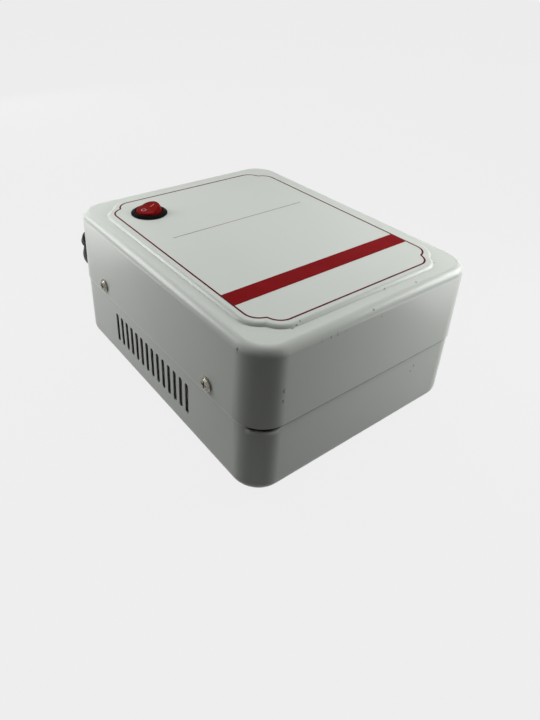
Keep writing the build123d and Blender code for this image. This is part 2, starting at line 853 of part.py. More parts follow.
with BuildPart() as plug_pins:
    with BuildSketch(Plane.XZ.offset(-plug_face_y)):
        for sign in side_signs:
            with Locations((plug_x, plug_z + sign * plug_pin_spacing / 2)):
                Circle(plug_pin_radius)
    extrude(amount=plug_pin_length)
    fillet(plug_pins.faces().group_by(Axis.Y)[0].edges(), plug_edge)
plug_pins.part.label = "plug_pins"
export_step(plug_pins.part, "parts/plug_pins.step")

with BuildPart() as plug_clips:
    for sign in side_signs:
        clip_x = plug_x + sign * (plug_radius - plug_notch_depth + plug_clip_thickness / 2)
        with BuildSketch(Plane.XZ.offset(-plug_face_y)):
            with Locations((clip_x, plug_z)):
                Rectangle(plug_clip_thickness, plug_clip_width)
        extrude(amount=-plug_clip_length)
plug_clips.part.label = "plug_clips"
export_step(plug_clips.part, "parts/plug_clips.step")

# Transformer: wound ring, its core, two pads, a dished clamp, a bolt and a nut
winding_z = floor_z + pad_thickness
winding_top = winding_z + winding_height
winding_middle = (winding_outer_radius + winding_inner_radius) / 2
winding_width = winding_outer_radius - winding_inner_radius
toroid_axis = Axis((0, toroid_y, 0), (0, 0, 1))
toroid_section = Plane(origin=(0, toroid_y, winding_z), x_dir=(1, 0, 0), z_dir=(0, -1, 0))
with BuildPart() as winding:
    with BuildSketch(toroid_section):
        with Locations((winding_middle, winding_height / 2)):
            RectangleRounded(winding_width, winding_height, winding_edge)
            Rectangle(
                winding_width - 2 * winding_wall,
                winding_height - 2 * winding_wall,
                mode=Mode.SUBTRACT,
            )
    revolve(axis=toroid_axis)
winding.part.label = "transformer_winding"
export_step(winding.part, "parts/transformer_winding.step")

with BuildPart() as core:
    with BuildSketch(toroid_section):
        with Locations((winding_middle, winding_height / 2)):
            Rectangle(winding_width - 2 * winding_wall, winding_height - 2 * winding_wall)
    revolve(axis=toroid_axis)
core.part.label = "transformer_core"
export_step(core.part, "parts/transformer_core.step")

for name, z, hole_radius in (
    ("lower_pad", floor_z, pad_inner_radius),
    ("upper_pad", winding_top, winding_inner_radius),
):
    with BuildPart() as pad:
        with BuildSketch(Plane.XY.offset(z)):
            with Locations((0, toroid_y)):
                Circle(pad_outer_radius)
                Circle(hole_radius, mode=Mode.SUBTRACT)
        extrude(amount=pad_thickness)
    pad.part.label = name
    export_step(pad.part, f"parts/{name}.step")

clamp_z = winding_top + pad_thickness
with BuildPart() as clamp:
    with BuildSketch(
        Plane(origin=(0, toroid_y, clamp_z), x_dir=(1, 0, 0), z_dir=(0, -1, 0))
    ):
        with BuildLine():
            Polyline(
                (bolt_radius + bolt_play, -clamp_dish_depth),
                (clamp_dish_radius, -clamp_dish_depth),
                (clamp_dish_radius + clamp_dish_ramp, 0),
                (clamp_radius, 0),
                (clamp_radius, clamp_thickness),
                (clamp_dish_radius + clamp_dish_ramp - clamp_thickness, clamp_thickness),
                (clamp_dish_radius - clamp_thickness, clamp_thickness - clamp_dish_depth),
                (bolt_radius + bolt_play, clamp_thickness - clamp_dish_depth),
                close=True,
            )
        make_face()
    revolve(axis=toroid_axis)
clamp.part.label = "clamp_washer"
export_step(clamp.part, "parts/clamp_washer.step")

nut_z = clamp_z + clamp_thickness - clamp_dish_depth
with BuildPart() as clamp_bolt:
    with BuildSketch(Plane.XY.offset(foot_drop)):
        with Locations((0, toroid_y)):
            Circle(bolt_head_radius)
    extrude(amount=-bolt_head_height)
    with BuildSketch(Plane.XY.offset(foot_drop)):
        with Locations((0, toroid_y)):
            Circle(bolt_radius - screw_play)
    extrude(amount=nut_z + bolt_nut_height + bolt_tip - foot_drop)
clamp_bolt.part.label = "clamp_bolt"
export_step(clamp_bolt.part, "parts/clamp_bolt.step")

with BuildPart() as clamp_nut:
    with BuildSketch(Plane.XY.offset(nut_z)):
        with Locations((0, toroid_y)):
            RegularPolygon(hexagon(bolt_nut_flats), 6)
            Circle(bolt_radius, mode=Mode.SUBTRACT)
    extrude(amount=bolt_nut_height)
clamp_nut.part.label = "clamp_nut"
export_step(clamp_nut.part, "parts/clamp_nut.step")

# Terminal block: a ribbed moulding with a brass strap and two screws in each way
way_pitch = (block_width - block_wall) / block_way_count
with BuildPart() as block:
    with BuildSketch(Plane.XY.offset(floor_z)):
        with Locations((block_x, block_y)):
            Rectangle(block_width, block_depth)
    extrude(amount=block_base)
    with BuildSketch(Plane.XY.offset(floor_z + block_base)):
        with Locations((block_x, block_y)):
            with GridLocations(way_pitch, block_depth, block_way_count + 1, 1):
                Rectangle(block_wall, block_depth)
    extrude(amount=block_height - block_base)
block.part.label = "terminal_block"
export_step(block.part, "parts/terminal_block.step")

with BuildPart() as straps:
    with BuildSketch(Plane.XY.offset(floor_z + block_base)):
        with Locations((block_x, block_y)):
            with GridLocations(way_pitch, block_depth, block_way_count, 1):
                Rectangle(block_strap_width, block_depth - 2 * block_wall)
    extrude(amount=block_strap_thickness)
straps.part.label = "terminal_straps"
export_step(straps.part, "parts/terminal_straps.step")

with BuildPart() as block_screws:
    with BuildSketch(Plane.XY.offset(floor_z + block_base + block_strap_thickness)):
        with Locations((block_x, block_y)):
            with GridLocations(way_pitch, block_depth / 2, block_way_count, 2):
                Circle(block_screw_radius)
    extrude(amount=block_screw_height)
block_screws.part.label = "terminal_screws"
export_step(block_screws.part, "parts/terminal_screws.step")

# Earth stud with its tag and nut
with BuildPart() as earth_stud:
    with BuildSketch(Plane.XY.offset(foot_drop)):
        with Locations((stud_x, stud_y)):
            Circle(stud_head_radius)
    extrude(amount=-stud_head_height)
    with BuildSketch(Plane.XY.offset(foot_drop)):
        with Locations((stud_x, stud_y)):
            Circle(stud_radius - screw_play)
    extrude(amount=stud_height)
earth_stud.part.label = "earth_stud"
export_step(earth_stud.part, "parts/earth_stud.step")

with BuildPart() as earth_tag:
    with BuildSketch(Plane.XY.offset(floor_z)):
        with Locations((stud_x, stud_y)):
            Circle(stud_tag_radius)
        with Locations((stud_x, stud_y - stud_tag_length / 2)):
            Rectangle(stud_tag_width, stud_tag_length)
        with Locations((stud_x, stud_y)):
            Circle(stud_radius, mode=Mode.SUBTRACT)
    extrude(amount=stud_tag_thickness)
earth_tag.part.label = "earth_tag"
export_step(earth_tag.part, "parts/earth_tag.step")

with BuildPart() as earth_nut:
    with BuildSketch(Plane.XY.offset(floor_z + stud_tag_thickness)):
        with Locations((stud_x, stud_y)):
            RegularPolygon(hexagon(stud_nut_flats), 6)
            Circle(stud_radius, mode=Mode.SUBTRACT)
    extrude(amount=stud_nut_height)
earth_nut.part.label = "earth_nut"
export_step(earth_nut.part, "parts/earth_nut.step")

# What the lead measures
for name, piece, path, radii in (
    ("cord_lead", cord_lead, lead_path, lead_radii),
    ("cord_tail", cord_tail, tail_path, tail_radii),
    ("cord_coil", cord_coil, coil_path, []),
):
    length = path.wires()[0].length
    share = piece.part.volume / (pi * cord_radius ** 2 * length)
    print(name, "length", round(length, 1), "volume share", round(share, 4),
          "radii", [round(r, 1) for r in radii])
print("cord_coil least gap", round(least_gap, 3), "turn direction at its end", knots[-1][1])
print("sleeve tip", sleeve_tip, "coil end", coil_end)
print("clearance of the clamp bolt under the tray", round(foot_drop - bolt_head_height, 2))
for name, points in (("lead", lead_points), ("tail", tail_points)):
    print(name, "route", [tuple(round(c, 2) for c in point) for point in points])
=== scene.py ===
"""Looks of a bench-top voltage converter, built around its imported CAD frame.

Each sub-assembly is a class that holds its own sizes, builds its meshes with bmesh operators and
dresses them. Everything is in metres, unless its class says otherwise, and in the frame's own
axes: +Z up, +Y towards the rear wall.
"""
import json
import logging
import math
from dataclasses import dataclass, field
from enum import Enum
from typing import Callable, Optional, Sequence, Union

import bmesh
import bpy
from mathutils import Matrix, Vector

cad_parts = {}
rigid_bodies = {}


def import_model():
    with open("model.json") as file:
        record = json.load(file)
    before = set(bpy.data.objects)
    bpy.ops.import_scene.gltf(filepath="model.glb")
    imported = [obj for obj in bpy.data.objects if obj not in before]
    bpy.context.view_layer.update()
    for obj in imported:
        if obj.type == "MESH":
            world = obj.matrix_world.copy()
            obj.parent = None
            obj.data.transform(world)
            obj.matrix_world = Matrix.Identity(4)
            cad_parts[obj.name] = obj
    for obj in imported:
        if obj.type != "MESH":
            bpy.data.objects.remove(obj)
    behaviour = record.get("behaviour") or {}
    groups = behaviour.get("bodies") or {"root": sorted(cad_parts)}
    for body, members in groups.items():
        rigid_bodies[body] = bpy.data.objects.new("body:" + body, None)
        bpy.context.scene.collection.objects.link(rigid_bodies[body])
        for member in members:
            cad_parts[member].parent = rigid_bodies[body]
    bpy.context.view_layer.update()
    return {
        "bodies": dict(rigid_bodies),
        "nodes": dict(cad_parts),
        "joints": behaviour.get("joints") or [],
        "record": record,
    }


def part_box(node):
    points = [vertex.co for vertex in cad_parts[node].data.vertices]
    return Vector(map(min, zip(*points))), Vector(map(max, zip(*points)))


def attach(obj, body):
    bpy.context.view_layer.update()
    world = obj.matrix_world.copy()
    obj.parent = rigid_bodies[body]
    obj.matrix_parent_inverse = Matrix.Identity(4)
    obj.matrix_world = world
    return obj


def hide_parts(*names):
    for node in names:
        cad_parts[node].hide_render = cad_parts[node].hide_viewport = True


MM = 0.001
LOG = logging.getLogger("converter")
SRGB_MOST, SRGB_TOE, SRGB_SLOPE, SRGB_OFFSET, SRGB_GAMMA = 255, 0.04045, 12.92, 0.055, 2.4
NOISE_MEAN = 0.5
NOISE_SHIFT = (1, 2, 3)
QUARTERS = 4
Colour = tuple[float, float, float]
Socket = bpy.types.NodeSocket
Value = Union[float, Socket]


class Body(Enum):
    """The bodies of the frame."""

    CASE = "case"
    ROCKER = "rocker"
    BUTTON = "reset_button"


class Maths(Enum):
    """What a Math node works out."""

    ABSOLUTE = "ABSOLUTE"
    ADD = "ADD"
    ANGLE = "ARCTAN2"
    FRACTION = "FRACT"
    GREATER = "GREATER_THAN"
    LESS = "LESS_THAN"
    MAXIMUM = "MAXIMUM"
    MINIMUM = "MINIMUM"
    MULTIPLY = "MULTIPLY"
    SUBTRACT = "SUBTRACT"


def linear(value: int) -> float:
    """Linear value of one sRGB byte.

    Args:
        value: the byte.

    Returns:
        The value from 0 to 1.
    """
    share = value / SRGB_MOST
    if share <= SRGB_TOE:
        return share / SRGB_SLOPE
    return ((share + SRGB_OFFSET) / (1 + SRGB_OFFSET)) ** SRGB_GAMMA


def srgb(red: int, green: int, blue: int) -> Colour:
    """Linear colour of an sRGB triple."""
    return linear(red), linear(green), linear(blue)


def with_alpha(colour: Colour) -> tuple[float, float, float, float]:
    """The colour with an alpha of one, as a colour socket takes it."""
    return (*colour, 1.0)


def flat_plate(length: float, width: float) -> bmesh.types.BMesh:
    """A flat rectangle about the origin.

    Args:
        length: its size along X.
        width: its size along Y.

    Returns:
        The mesh.
    """
    shape = bmesh.new()
    bmesh.ops.create_grid(shape, x_segments=1, y_segments=1, size=0.5,
                          matrix=Matrix.Diagonal((length, width, 1, 1)))
    return shape


@dataclass(frozen=True)
class Noise:
    """A noise pattern: the size and detail of its features, and the range of it that counts.

    The offset keeps two patterns apart, and stretch makes features longer along an axis.
    """

    size: float
    detail: float
    low: float = 0.0
    high: float = 1.0
    offset: float = 0.0
    stretch: Sequence[float] = (1, 1, 1)


class Recipe:
    """Writes one material's node tree around a Principled shader."""

    def __init__(self, name: str) -> None:
        """Start a material.

        Args:
            name: name of the material.
        """
        self.material = bpy.data.materials.new(name)
        self.material.use_nodes = True
        self.tree = self.material.node_tree
        self.shader = self.tree.nodes["Principled BSDF"]
        self.place: Optional[Socket] = None

    def node(self, kind: str, **settings: object) -> bpy.types.Node:
        """Add a node and set its properties.

        Args:
            kind: the node's type name.
            **settings: properties of the node.

        Returns:
            The new node.
        """
        made = self.tree.nodes.new(kind)
        for name, value in settings.items():
            setattr(made, name, value)
        return made

    def feed(self, target: Socket, value: Union[Value, Colour]) -> None:
        """Link a socket to a target, or set the target's own value.

        Args:
            target: the socket that is fed.
            value: another node's output, a number or a colour.
        """
        if isinstance(value, bpy.types.NodeSocket):
            self.tree.links.new(value, target)
        elif isinstance(value, tuple) and target.type == "RGBA":
            target.default_value = with_alpha(value)
        else:
            target.default_value = value

    def sheen(self, **sockets: Union[Value, Colour]) -> None:
        """Set sockets of the shader, named with underscores for spaces."""
        for name, value in sockets.items():
            self.feed(self.shader.inputs[name.replace("_", " ")], value)

    def point(self) -> Socket:
        """Object coordinates, which are the frame's own metres.

        Returns:
            The vector output.
        """
        if self.place is None:
            self.place = self.node("ShaderNodeTexCoord").outputs["Object"]
        return self.place

    def moved(self, centre: Sequence[float]) -> Socket:
        """Object coordinates about a centre.

        Args:
            centre: the point that becomes the pattern's origin.

        Returns:
            The vector output.
        """
        made = self.node("ShaderNodeMapping", vector_type="TEXTURE")
        made.inputs["Location"].default_value = centre
        self.feed(made.inputs["Vector"], self.point())
        return made.outputs["Vector"]

    def axes(self, vector: Optional[Socket] = None) -> tuple[Socket, Socket, Socket]:
        """The three components of a vector.

        Args:
            vector: the vector, or none for the Object coordinates.

        Returns:
            Its x, y and z.
        """
        made = self.node("ShaderNodeSeparateXYZ")
        self.feed(made.inputs[0], vector or self.point())
        return made.outputs[0], made.outputs[1], made.outputs[2]

    def work_out(self, operation: Maths, first: Value, second: Value = 0.0) -> Socket:
        """One Math node.

        Args:
            operation: what it works out.
            first: its first value.
            second: its second value.

        Returns:
            The result.
        """
        made = self.node("ShaderNodeMath", operation=operation.value)
        self.feed(made.inputs[0], first)
        self.feed(made.inputs[1], second)
        return made.outputs[0]

    def ramp(self, value: Value, low: Value, high: Value, start: Value = 0.0,
             end: Value = 1.0) -> Socket:
        """Map a value smoothly from one range to another.

        Args:
            value: what is mapped.
            low: value that gives start.
            high: value that gives end.
            start: result at low.
            end: result at high.

        Returns:
            The mapped value.
        """
        made = self.node("ShaderNodeMapRange", interpolation_type="SMOOTHSTEP")
        for name, number in zip(("Value", "From Min", "From Max", "To Min", "To Max"),
                                (value, low, high, start, end)):
            self.feed(made.inputs[name], number)
        return made.outputs["Result"]

    def noise(self, pattern: Noise) -> Socket:
        """Read a noise pattern at the Object coordinates.

        Args:
            pattern: the pattern.

        Returns:
            The noise value, about 0.5 on average.
        """
        scaled = self.node("ShaderNodeMapping")
        scaled.inputs["Scale"].default_value = [1 / (pattern.size * s) for s in pattern.stretch]
        scaled.inputs["Location"].default_value = [k * pattern.offset for k in NOISE_SHIFT]
        self.feed(scaled.inputs["Vector"], self.point())
        made = self.node("ShaderNodeTexNoise")
        made.inputs["Scale"].default_value = 1.0
        made.inputs["Detail"].default_value = pattern.detail
        self.feed(made.inputs["Vector"], scaled.outputs["Vector"])
        return made.outputs["Fac"]

    def mottle(self, pattern: Noise, start: float = 0.0, end: float = 1.0) -> Socket:
        """An uneven value: start where the noise is at its low or less, end from its high on."""
        return self.ramp(self.noise(pattern), pattern.low, pattern.high, start, end)

    def mix(self, share: Value, first: Union[Socket, Colour],
            second: Union[Socket, Colour]) -> Socket:
        """Mix two colours.

        Args:
            share: 0 gives the first, 1 the second.
            first: a colour.
            second: a colour.

        Returns:
            The colour.
        """
        made = self.node("ShaderNodeMix", data_type="RGBA")
        self.feed(made.inputs["Factor"], share)
        self.feed(made.inputs["A"], first)
        self.feed(made.inputs["B"], second)
        return made.outputs["Result"]

    def bump(self, height: Socket, depth: float) -> Socket:
        """Bump from a height value.

        Args:
            height: value from 0 to 1.
            depth: metres between 0 and 1.

        Returns:
            The normal.
        """
        made = self.node("ShaderNodeBump")
        made.inputs["Strength"].default_value = 1.0
        made.inputs["Distance"].default_value = depth
        self.feed(made.inputs["Height"], height)
        return made.outputs["Normal"]


@dataclass(frozen=True)
class Enamel:
    """Pale stoved enamel on drawn sheet, with slow waves and small chips. Along the seam lie grime
    with painted shade, a painted shadow line and, on the left wall, a painted highlight; the inner
    faces by the vents get painted shade.

    Each chip is a place in millimetres and a size relative to the usual one.
    """

    name: str = "case_enamel"
    colour: Colour = srgb(203, 208, 201)
    tone: Colour = srgb(200, 205, 198)
    clouds: Noise = Noise(60 * MM, 2, 0.2, 0.8)
    rough: Sequence[float] = (0.285, 0.335)
    rubbed: Noise = Noise(20 * MM, 3, 0.2, 0.8, offset=3.0)
    shine: float = 0.4
    waves: Noise = Noise(46 * MM, 1, offset=6.0)
    wave_depth: float = 0.1 * MM
    parting: float = 48.35 * MM
    # grime mixed with painted shade along the seam
    grime_and_shade: Colour = srgb(116, 116, 104)
    grime_and_shade_reach: Sequence[float] = (0.2 * MM, 2.4 * MM)
    grime_and_shade_share: float = 0.3
    grime_and_shade_spots: Noise = Noise(9 * MM, 4, 0.5, 0.72, offset=4.0, stretch=(1, 1, 0.3))
    # painted highlight along the cover's lower edge on the left wall
    seam_highlight: Colour = srgb(236, 238, 232)
    seam_highlight_width: float = 0.8 * MM
    left_wall: float = 79.4 * MM
    left_fade: float = 4 * MM
    gap: float = 0.55 * MM
    seam_fade: float = 1.5
    seam_share: float = 0.8
    # near-black painted shade on the inner faces by the vents
    inside_shade: Colour = srgb(44, 46, 44)
    inside_half: Sequence[float] = (78.4 * MM, 98.4 * MM)
    inside_corner: float = 16.4 * MM
    inside_height: Sequence[float] = (11.0 * MM, 60.0 * MM)
    # colour of the chips, also used for the painted shadow line under the cover
    chip_and_seam_shadow: Colour = srgb(70, 70, 64)
    chip_share: float = 0.65
    chip_radius: float = 0.6 * MM
    chip_edge: float = 0.15 * MM
    chip_height_share: float = 0.55
    jagged: Noise = Noise(0.9 * MM, 4, offset=8.0)
    jag: float = 2.4 * MM
    chips: Sequence[Sequence[float]] = (
        (-79.3, -83.5, 91.8, 1.0), (-51.6, -89.4, 96.1, 0.9), (-48.8, -88.6, 96.6, 0.7),
        (-45.8, -88.0, 97.0, 0.7), (-41.5, -99.2, 91.2, 0.6), (-36.0, -99.2, 90.9, 0.8),
        (-31.5, -99.2, 91.0, 0.7), (-26.0, -99.2, 90.5, 0.6), (-5.5, -98.0, 94.9, 0.9),
        (0.2, -99.3, 89.6, 0.6), (12.3, -89.0, 96.1, 0.8), (32.4, -93.7, 96.0, 0.8),
        (58.4, -85.5, 96.0, 0.8), (66.5, -99.6, 62.0, 0.6), (-63.4, -99.6, 71.1, 0.7),
        (-63.5, -99.6, 65.0, 0.9), (38.8, -99.6, 39.8, 1.0), (36.9, -99.6, 36.9, 0.7),
    )

    def build(self) -> bpy.types.Material:
        """Make the material.

        Returns:
            The material.
        """
        recipe = Recipe(self.name)
        body = recipe.mix(recipe.mottle(self.clouds), self.colour, self.tone)
        # seam: grime with painted shade, a painted shadow line and, on the left wall, a painted
        # highlight
        body = self.seamed(recipe, body)
        chips = recipe.work_out(Maths.MULTIPLY, self.chipped(recipe), self.chip_share)
        body = recipe.mix(chips, body, self.chip_and_seam_shadow)
        # painted shade on the inner faces by the vents
        body = recipe.mix(self.hidden(recipe), body, self.inside_shade)
        recipe.sheen(Base_Color=body, Specular_IOR_Level=self.shine,
                     Roughness=recipe.mottle(self.rubbed, *self.rough),
                     Normal=recipe.bump(recipe.noise(self.waves), self.wave_depth))
        return recipe.material

    def seamed(self, recipe: Recipe, body: Socket) -> Socket:
        """Lay grime with painted shade along the seam, and the seam's line, over a colour.

        The line is a painted shadow under the cover's edge, but on the left wall it is a painted
        highlight along the cover's lower edge.

        Args:
            recipe: the recipe that it is added to.
            body: the colour under it.

        Returns:
            The colour.
        """
        across, _, height = recipe.axes()
        off = recipe.work_out(Maths.ABSOLUTE,
                              recipe.work_out(Maths.SUBTRACT, height, self.parting))
        # grime with painted shade, darkest at the seam
        near = recipe.ramp(off, *self.grime_and_shade_reach, self.grime_and_shade_share, 0.0)
        soiled_and_shaded = recipe.work_out(Maths.MULTIPLY, near, recipe.mottle(self.grime_and_shade_spots))
        body = recipe.mix(soiled_and_shaded, body, self.grime_and_shade)
        on_left = recipe.ramp(across, -self.left_wall, self.left_fade - self.left_wall, 1.0, 0.0)
        edge = recipe.ramp(on_left, 0.0, 1.0, self.gap, self.seam_highlight_width)
        seam = recipe.ramp(off, edge, recipe.work_out(Maths.MULTIPLY, edge, self.seam_fade),
                           1.0, 0.0)
        # painted shadow line under the cover, and a painted highlight on the left wall
        line = recipe.mix(on_left, self.chip_and_seam_shadow, self.seam_highlight)
        return recipe.mix(recipe.work_out(Maths.MULTIPLY, seam, self.seam_share), body, line)

    def hidden(self, recipe: Recipe) -> Socket:
        """Mask of the inner faces by the vents, which get near-black painted shade.

        Args:
            recipe: the recipe that it is added to.

        Returns:
            1 on an inner face, 0 outside.
        """
        *across, height = recipe.axes()
        squares = []
        for axis, half in zip(across, self.inside_half):
            past = recipe.work_out(Maths.SUBTRACT, recipe.work_out(Maths.ABSOLUTE, axis),
                                   half - self.inside_corner)
            past = recipe.work_out(Maths.MAXIMUM, past, 0.0)
            squares.append(recipe.work_out(Maths.MULTIPLY, past, past))
        low, high = self.inside_height
        mask = recipe.work_out(Maths.LESS, recipe.work_out(Maths.ADD, *squares),
                               self.inside_corner ** 2)
        mask = recipe.work_out(Maths.MULTIPLY, mask, recipe.work_out(Maths.GREATER, height, low))
        return recipe.work_out(Maths.MULTIPLY, mask, recipe.work_out(Maths.LESS, height, high))

    def chipped(self, recipe: Recipe) -> Socket:
        """Mask of the chips along the front edges.

        Args:
            recipe: the recipe that it is added to.

        Returns:
            1 inside a chip, 0 outside.
        """
        jolt = recipe.work_out(Maths.SUBTRACT, recipe.noise(self.jagged), NOISE_MEAN)
        jolt = recipe.work_out(Maths.MULTIPLY, jolt, self.jag)
        shape = (1.0, 1.0, self.chip_height_share)
        drawn = recipe.node("ShaderNodeVectorMath", operation="MULTIPLY")
        recipe.feed(drawn.inputs[0], recipe.point())
        drawn.inputs[1].default_value = shape
        nearest: Value = 1.0
        for *place, size in self.chips:
            gap = recipe.node("ShaderNodeVectorMath", operation="DISTANCE")
            recipe.feed(gap.inputs[0], drawn.outputs[0])
            gap.inputs[1].default_value = [c * s * MM for c, s in zip(place, shape)]
            past = recipe.work_out(Maths.SUBTRACT, gap.outputs["Value"], self.chip_radius * size)
            nearest = recipe.work_out(Maths.MINIMUM, nearest, past)
        nearest = recipe.work_out(Maths.ADD, nearest, jolt)
        return recipe.ramp(nearest, 0.0, self.chip_edge, 1.0, 0.0)


@dataclass(frozen=True)
class Ink:
    """Screen-printed ink on the enamel."""

    name: str
    colour: Colour
    ior: float = 1.07
    lighter: float = 1.12
    coverage: Noise = Noise(12 * MM, 2, 0.35, 0.75)
    rough: Sequence[float] = (0.34, 0.42)
    rubbed: Noise = Noise(8 * MM, 2, 0.3, 0.7, offset=3.0)

    def build(self) -> bpy.types.Material:
        """Make the material.

        Returns:
            The material.
        """
        recipe = Recipe(self.name)
        thin = tuple(min(1.0, c * self.lighter) for c in self.colour)
        recipe.sheen(Base_Color=recipe.mix(recipe.mottle(self.coverage), self.colour, thin),
                     IOR=self.ior, Roughness=recipe.mottle(self.rubbed, *self.rough))
        return recipe.material


@dataclass(frozen=True)
class Moulding:
    """Moulded plastic or rubber, with a fine grain and slightly uneven gloss."""

    name: str
    colour: Colour
    rough: float
    grain: float = 0.35 * MM
    depth: float = 0.006 * MM
    dust: float = 0.35
    ior: float = 1.5
    pale_factor: float = 1.6
    pale_lift: float = 0.012
    dusty: Noise = Noise(7 * MM, 5, 0.42, 0.8, offset=2.0)
    rubbed: Noise = Noise(5 * MM, 3, 0.3, 0.7, offset=5.0)
    spread: Sequence[float] = (-0.05, 0.08)

    def build(self) -> bpy.types.Material:
        """Make the material.

        Returns:
            The material.
        """
        recipe = Recipe(self.name)
        pale = tuple(min(1.0, c * self.pale_factor + self.pale_lift) for c in self.colour)
        cover = recipe.mottle(self.dusty, 0.0, self.dust)
        least, most = self.spread
        recipe.sheen(Base_Color=recipe.mix(cover, self.colour, pale), IOR=self.ior,
                     Roughness=recipe.mottle(self.rubbed, self.rough + least, self.rough + most),
                     Normal=recipe.bump(recipe.noise(Noise(self.grain, 1)), self.depth))
        return recipe.material


@dataclass(frozen=True)
class Lens:
    """Tinted glossy plastic of the rocker, which lets a little light into its body."""

    name: str
    colour: Colour
    glow: Colour
    ior: float = 1.07
    clouds: Noise = Noise(9 * MM, 1, 0.35, 0.7)
    rough: Sequence[float] = (0.2, 0.26)
    rubbed: Noise = Noise(3 * MM, 3, 0.3, 0.7)
    scatter: float = 0.15
    scatter_depth: float = 1.2 * MM
    scatter_reach: Sequence[float] = (1.0, 0.15, 0.1)

    def build(self) -> bpy.types.Material:
        """Make the material.

        Returns:
            The material.
        """
        recipe = Recipe(self.name)
        recipe.sheen(Base_Color=recipe.mix(recipe.mottle(self.clouds), self.colour, self.glow),
                     Roughness=recipe.mottle(self.rubbed, *self.rough), IOR=self.ior,
                     Subsurface_Weight=self.scatter, Subsurface_Scale=self.scatter_depth,
                     Subsurface_Radius=self.scatter_reach)
        return recipe.material


@dataclass(frozen=True)
class Metal:
    """Plated or plain metal with fine scratches and a little tarnish.

    A recess, which gets painted shade, is given by the top of its screw's head, its place along
    the wall and its height.
    """

    name: str
    colour: Colour
    tarnish: Colour
    rough: float
    recess: Optional[Sequence[float]] = None
    recess_radius: float = 2.35 * MM
    recess_fade: float = 0.3 * MM
    # painted shade in the screws' cross recesses
    recess_shade: Colour = srgb(30, 28, 24)
    stains: Noise = Noise(3 * MM, 5, 0.5, 0.8, offset=1.0)
    scratches: Noise = Noise(0.5 * MM, 3, 0.3, 0.75, offset=3.0, stretch=(8, 1, 1))
    scratch_depth: float = 0.003 * MM
    spread: float = 0.16

    def shaded_recess(self, recipe: Recipe) -> Value:
        """Mask of the screws' cross recesses in the side walls, where shade is painted.

        Args:
            recipe: the recipe that it is added to.

        Returns:
            1 in a recess, 0 elsewhere.
        """
        if self.recess is None:
            return 0.0
        x, y, z = recipe.axes()
        rim, along, height = self.recess
        off_y = recipe.work_out(Maths.SUBTRACT, recipe.work_out(Maths.ABSOLUTE, y), along)
        off_z = recipe.work_out(Maths.SUBTRACT, z, height)
        reach = recipe.work_out(Maths.ADD, recipe.work_out(Maths.MULTIPLY, off_y, off_y),
                                recipe.work_out(Maths.MULTIPLY, off_z, off_z))
        near = recipe.work_out(Maths.LESS, reach, self.recess_radius ** 2)
        deep = recipe.ramp(recipe.work_out(Maths.ABSOLUTE, x), rim - self.recess_fade, rim,
                           1.0, 0.0)
        return recipe.work_out(Maths.MULTIPLY, deep, near)

    def build(self) -> bpy.types.Material:
        """Make the material.

        Returns:
            The material.
        """
        recipe = Recipe(self.name)
        plated = recipe.mix(recipe.mottle(self.stains), self.colour, self.tarnish)
        lines = recipe.noise(self.scratches)
        # painted shade in the cross recesses
        recipe.sheen(Base_Color=recipe.mix(self.shaded_recess(recipe), plated, self.recess_shade), Metallic=1.0,
                     Roughness=recipe.ramp(lines, self.scratches.low, self.scratches.high,
                                           self.rough, self.rough + self.spread),
                     Normal=recipe.bump(lines, self.scratch_depth))
        return recipe.material


@dataclass(frozen=True)
class Tape:
    """Amber film tape wound round a ring, each turn lapping the last."""

    name: str
    colour: Colour
    edge: Colour
    centre: Sequence[float]
    turns: float = 54.0
    wander: Noise = Noise(30 * MM, 1)
    edge_share: float = 0.16
    lap_depth: float = 0.1 * MM
    rough: float = 0.3
    coat: float = 0.4

    def build(self) -> bpy.types.Material:
        """Make the material.

        Returns:
            The material.
        """
        recipe = Recipe(self.name)
        x, y, _ = recipe.axes(recipe.moved(self.centre))
        count = recipe.work_out(Maths.MULTIPLY, recipe.work_out(Maths.ANGLE, y, x),
                                self.turns / math.tau)
        lap = recipe.work_out(Maths.FRACTION,
                              recipe.work_out(Maths.ADD, count, recipe.noise(self.wander)))
        tint = recipe.mix(recipe.ramp(lap, 0.0, self.edge_share), self.edge, self.colour)
        recipe.sheen(Base_Color=tint, Roughness=self.rough, Coat_Weight=self.coat,
                     Normal=recipe.bump(lap, self.lap_depth))
        return recipe.material


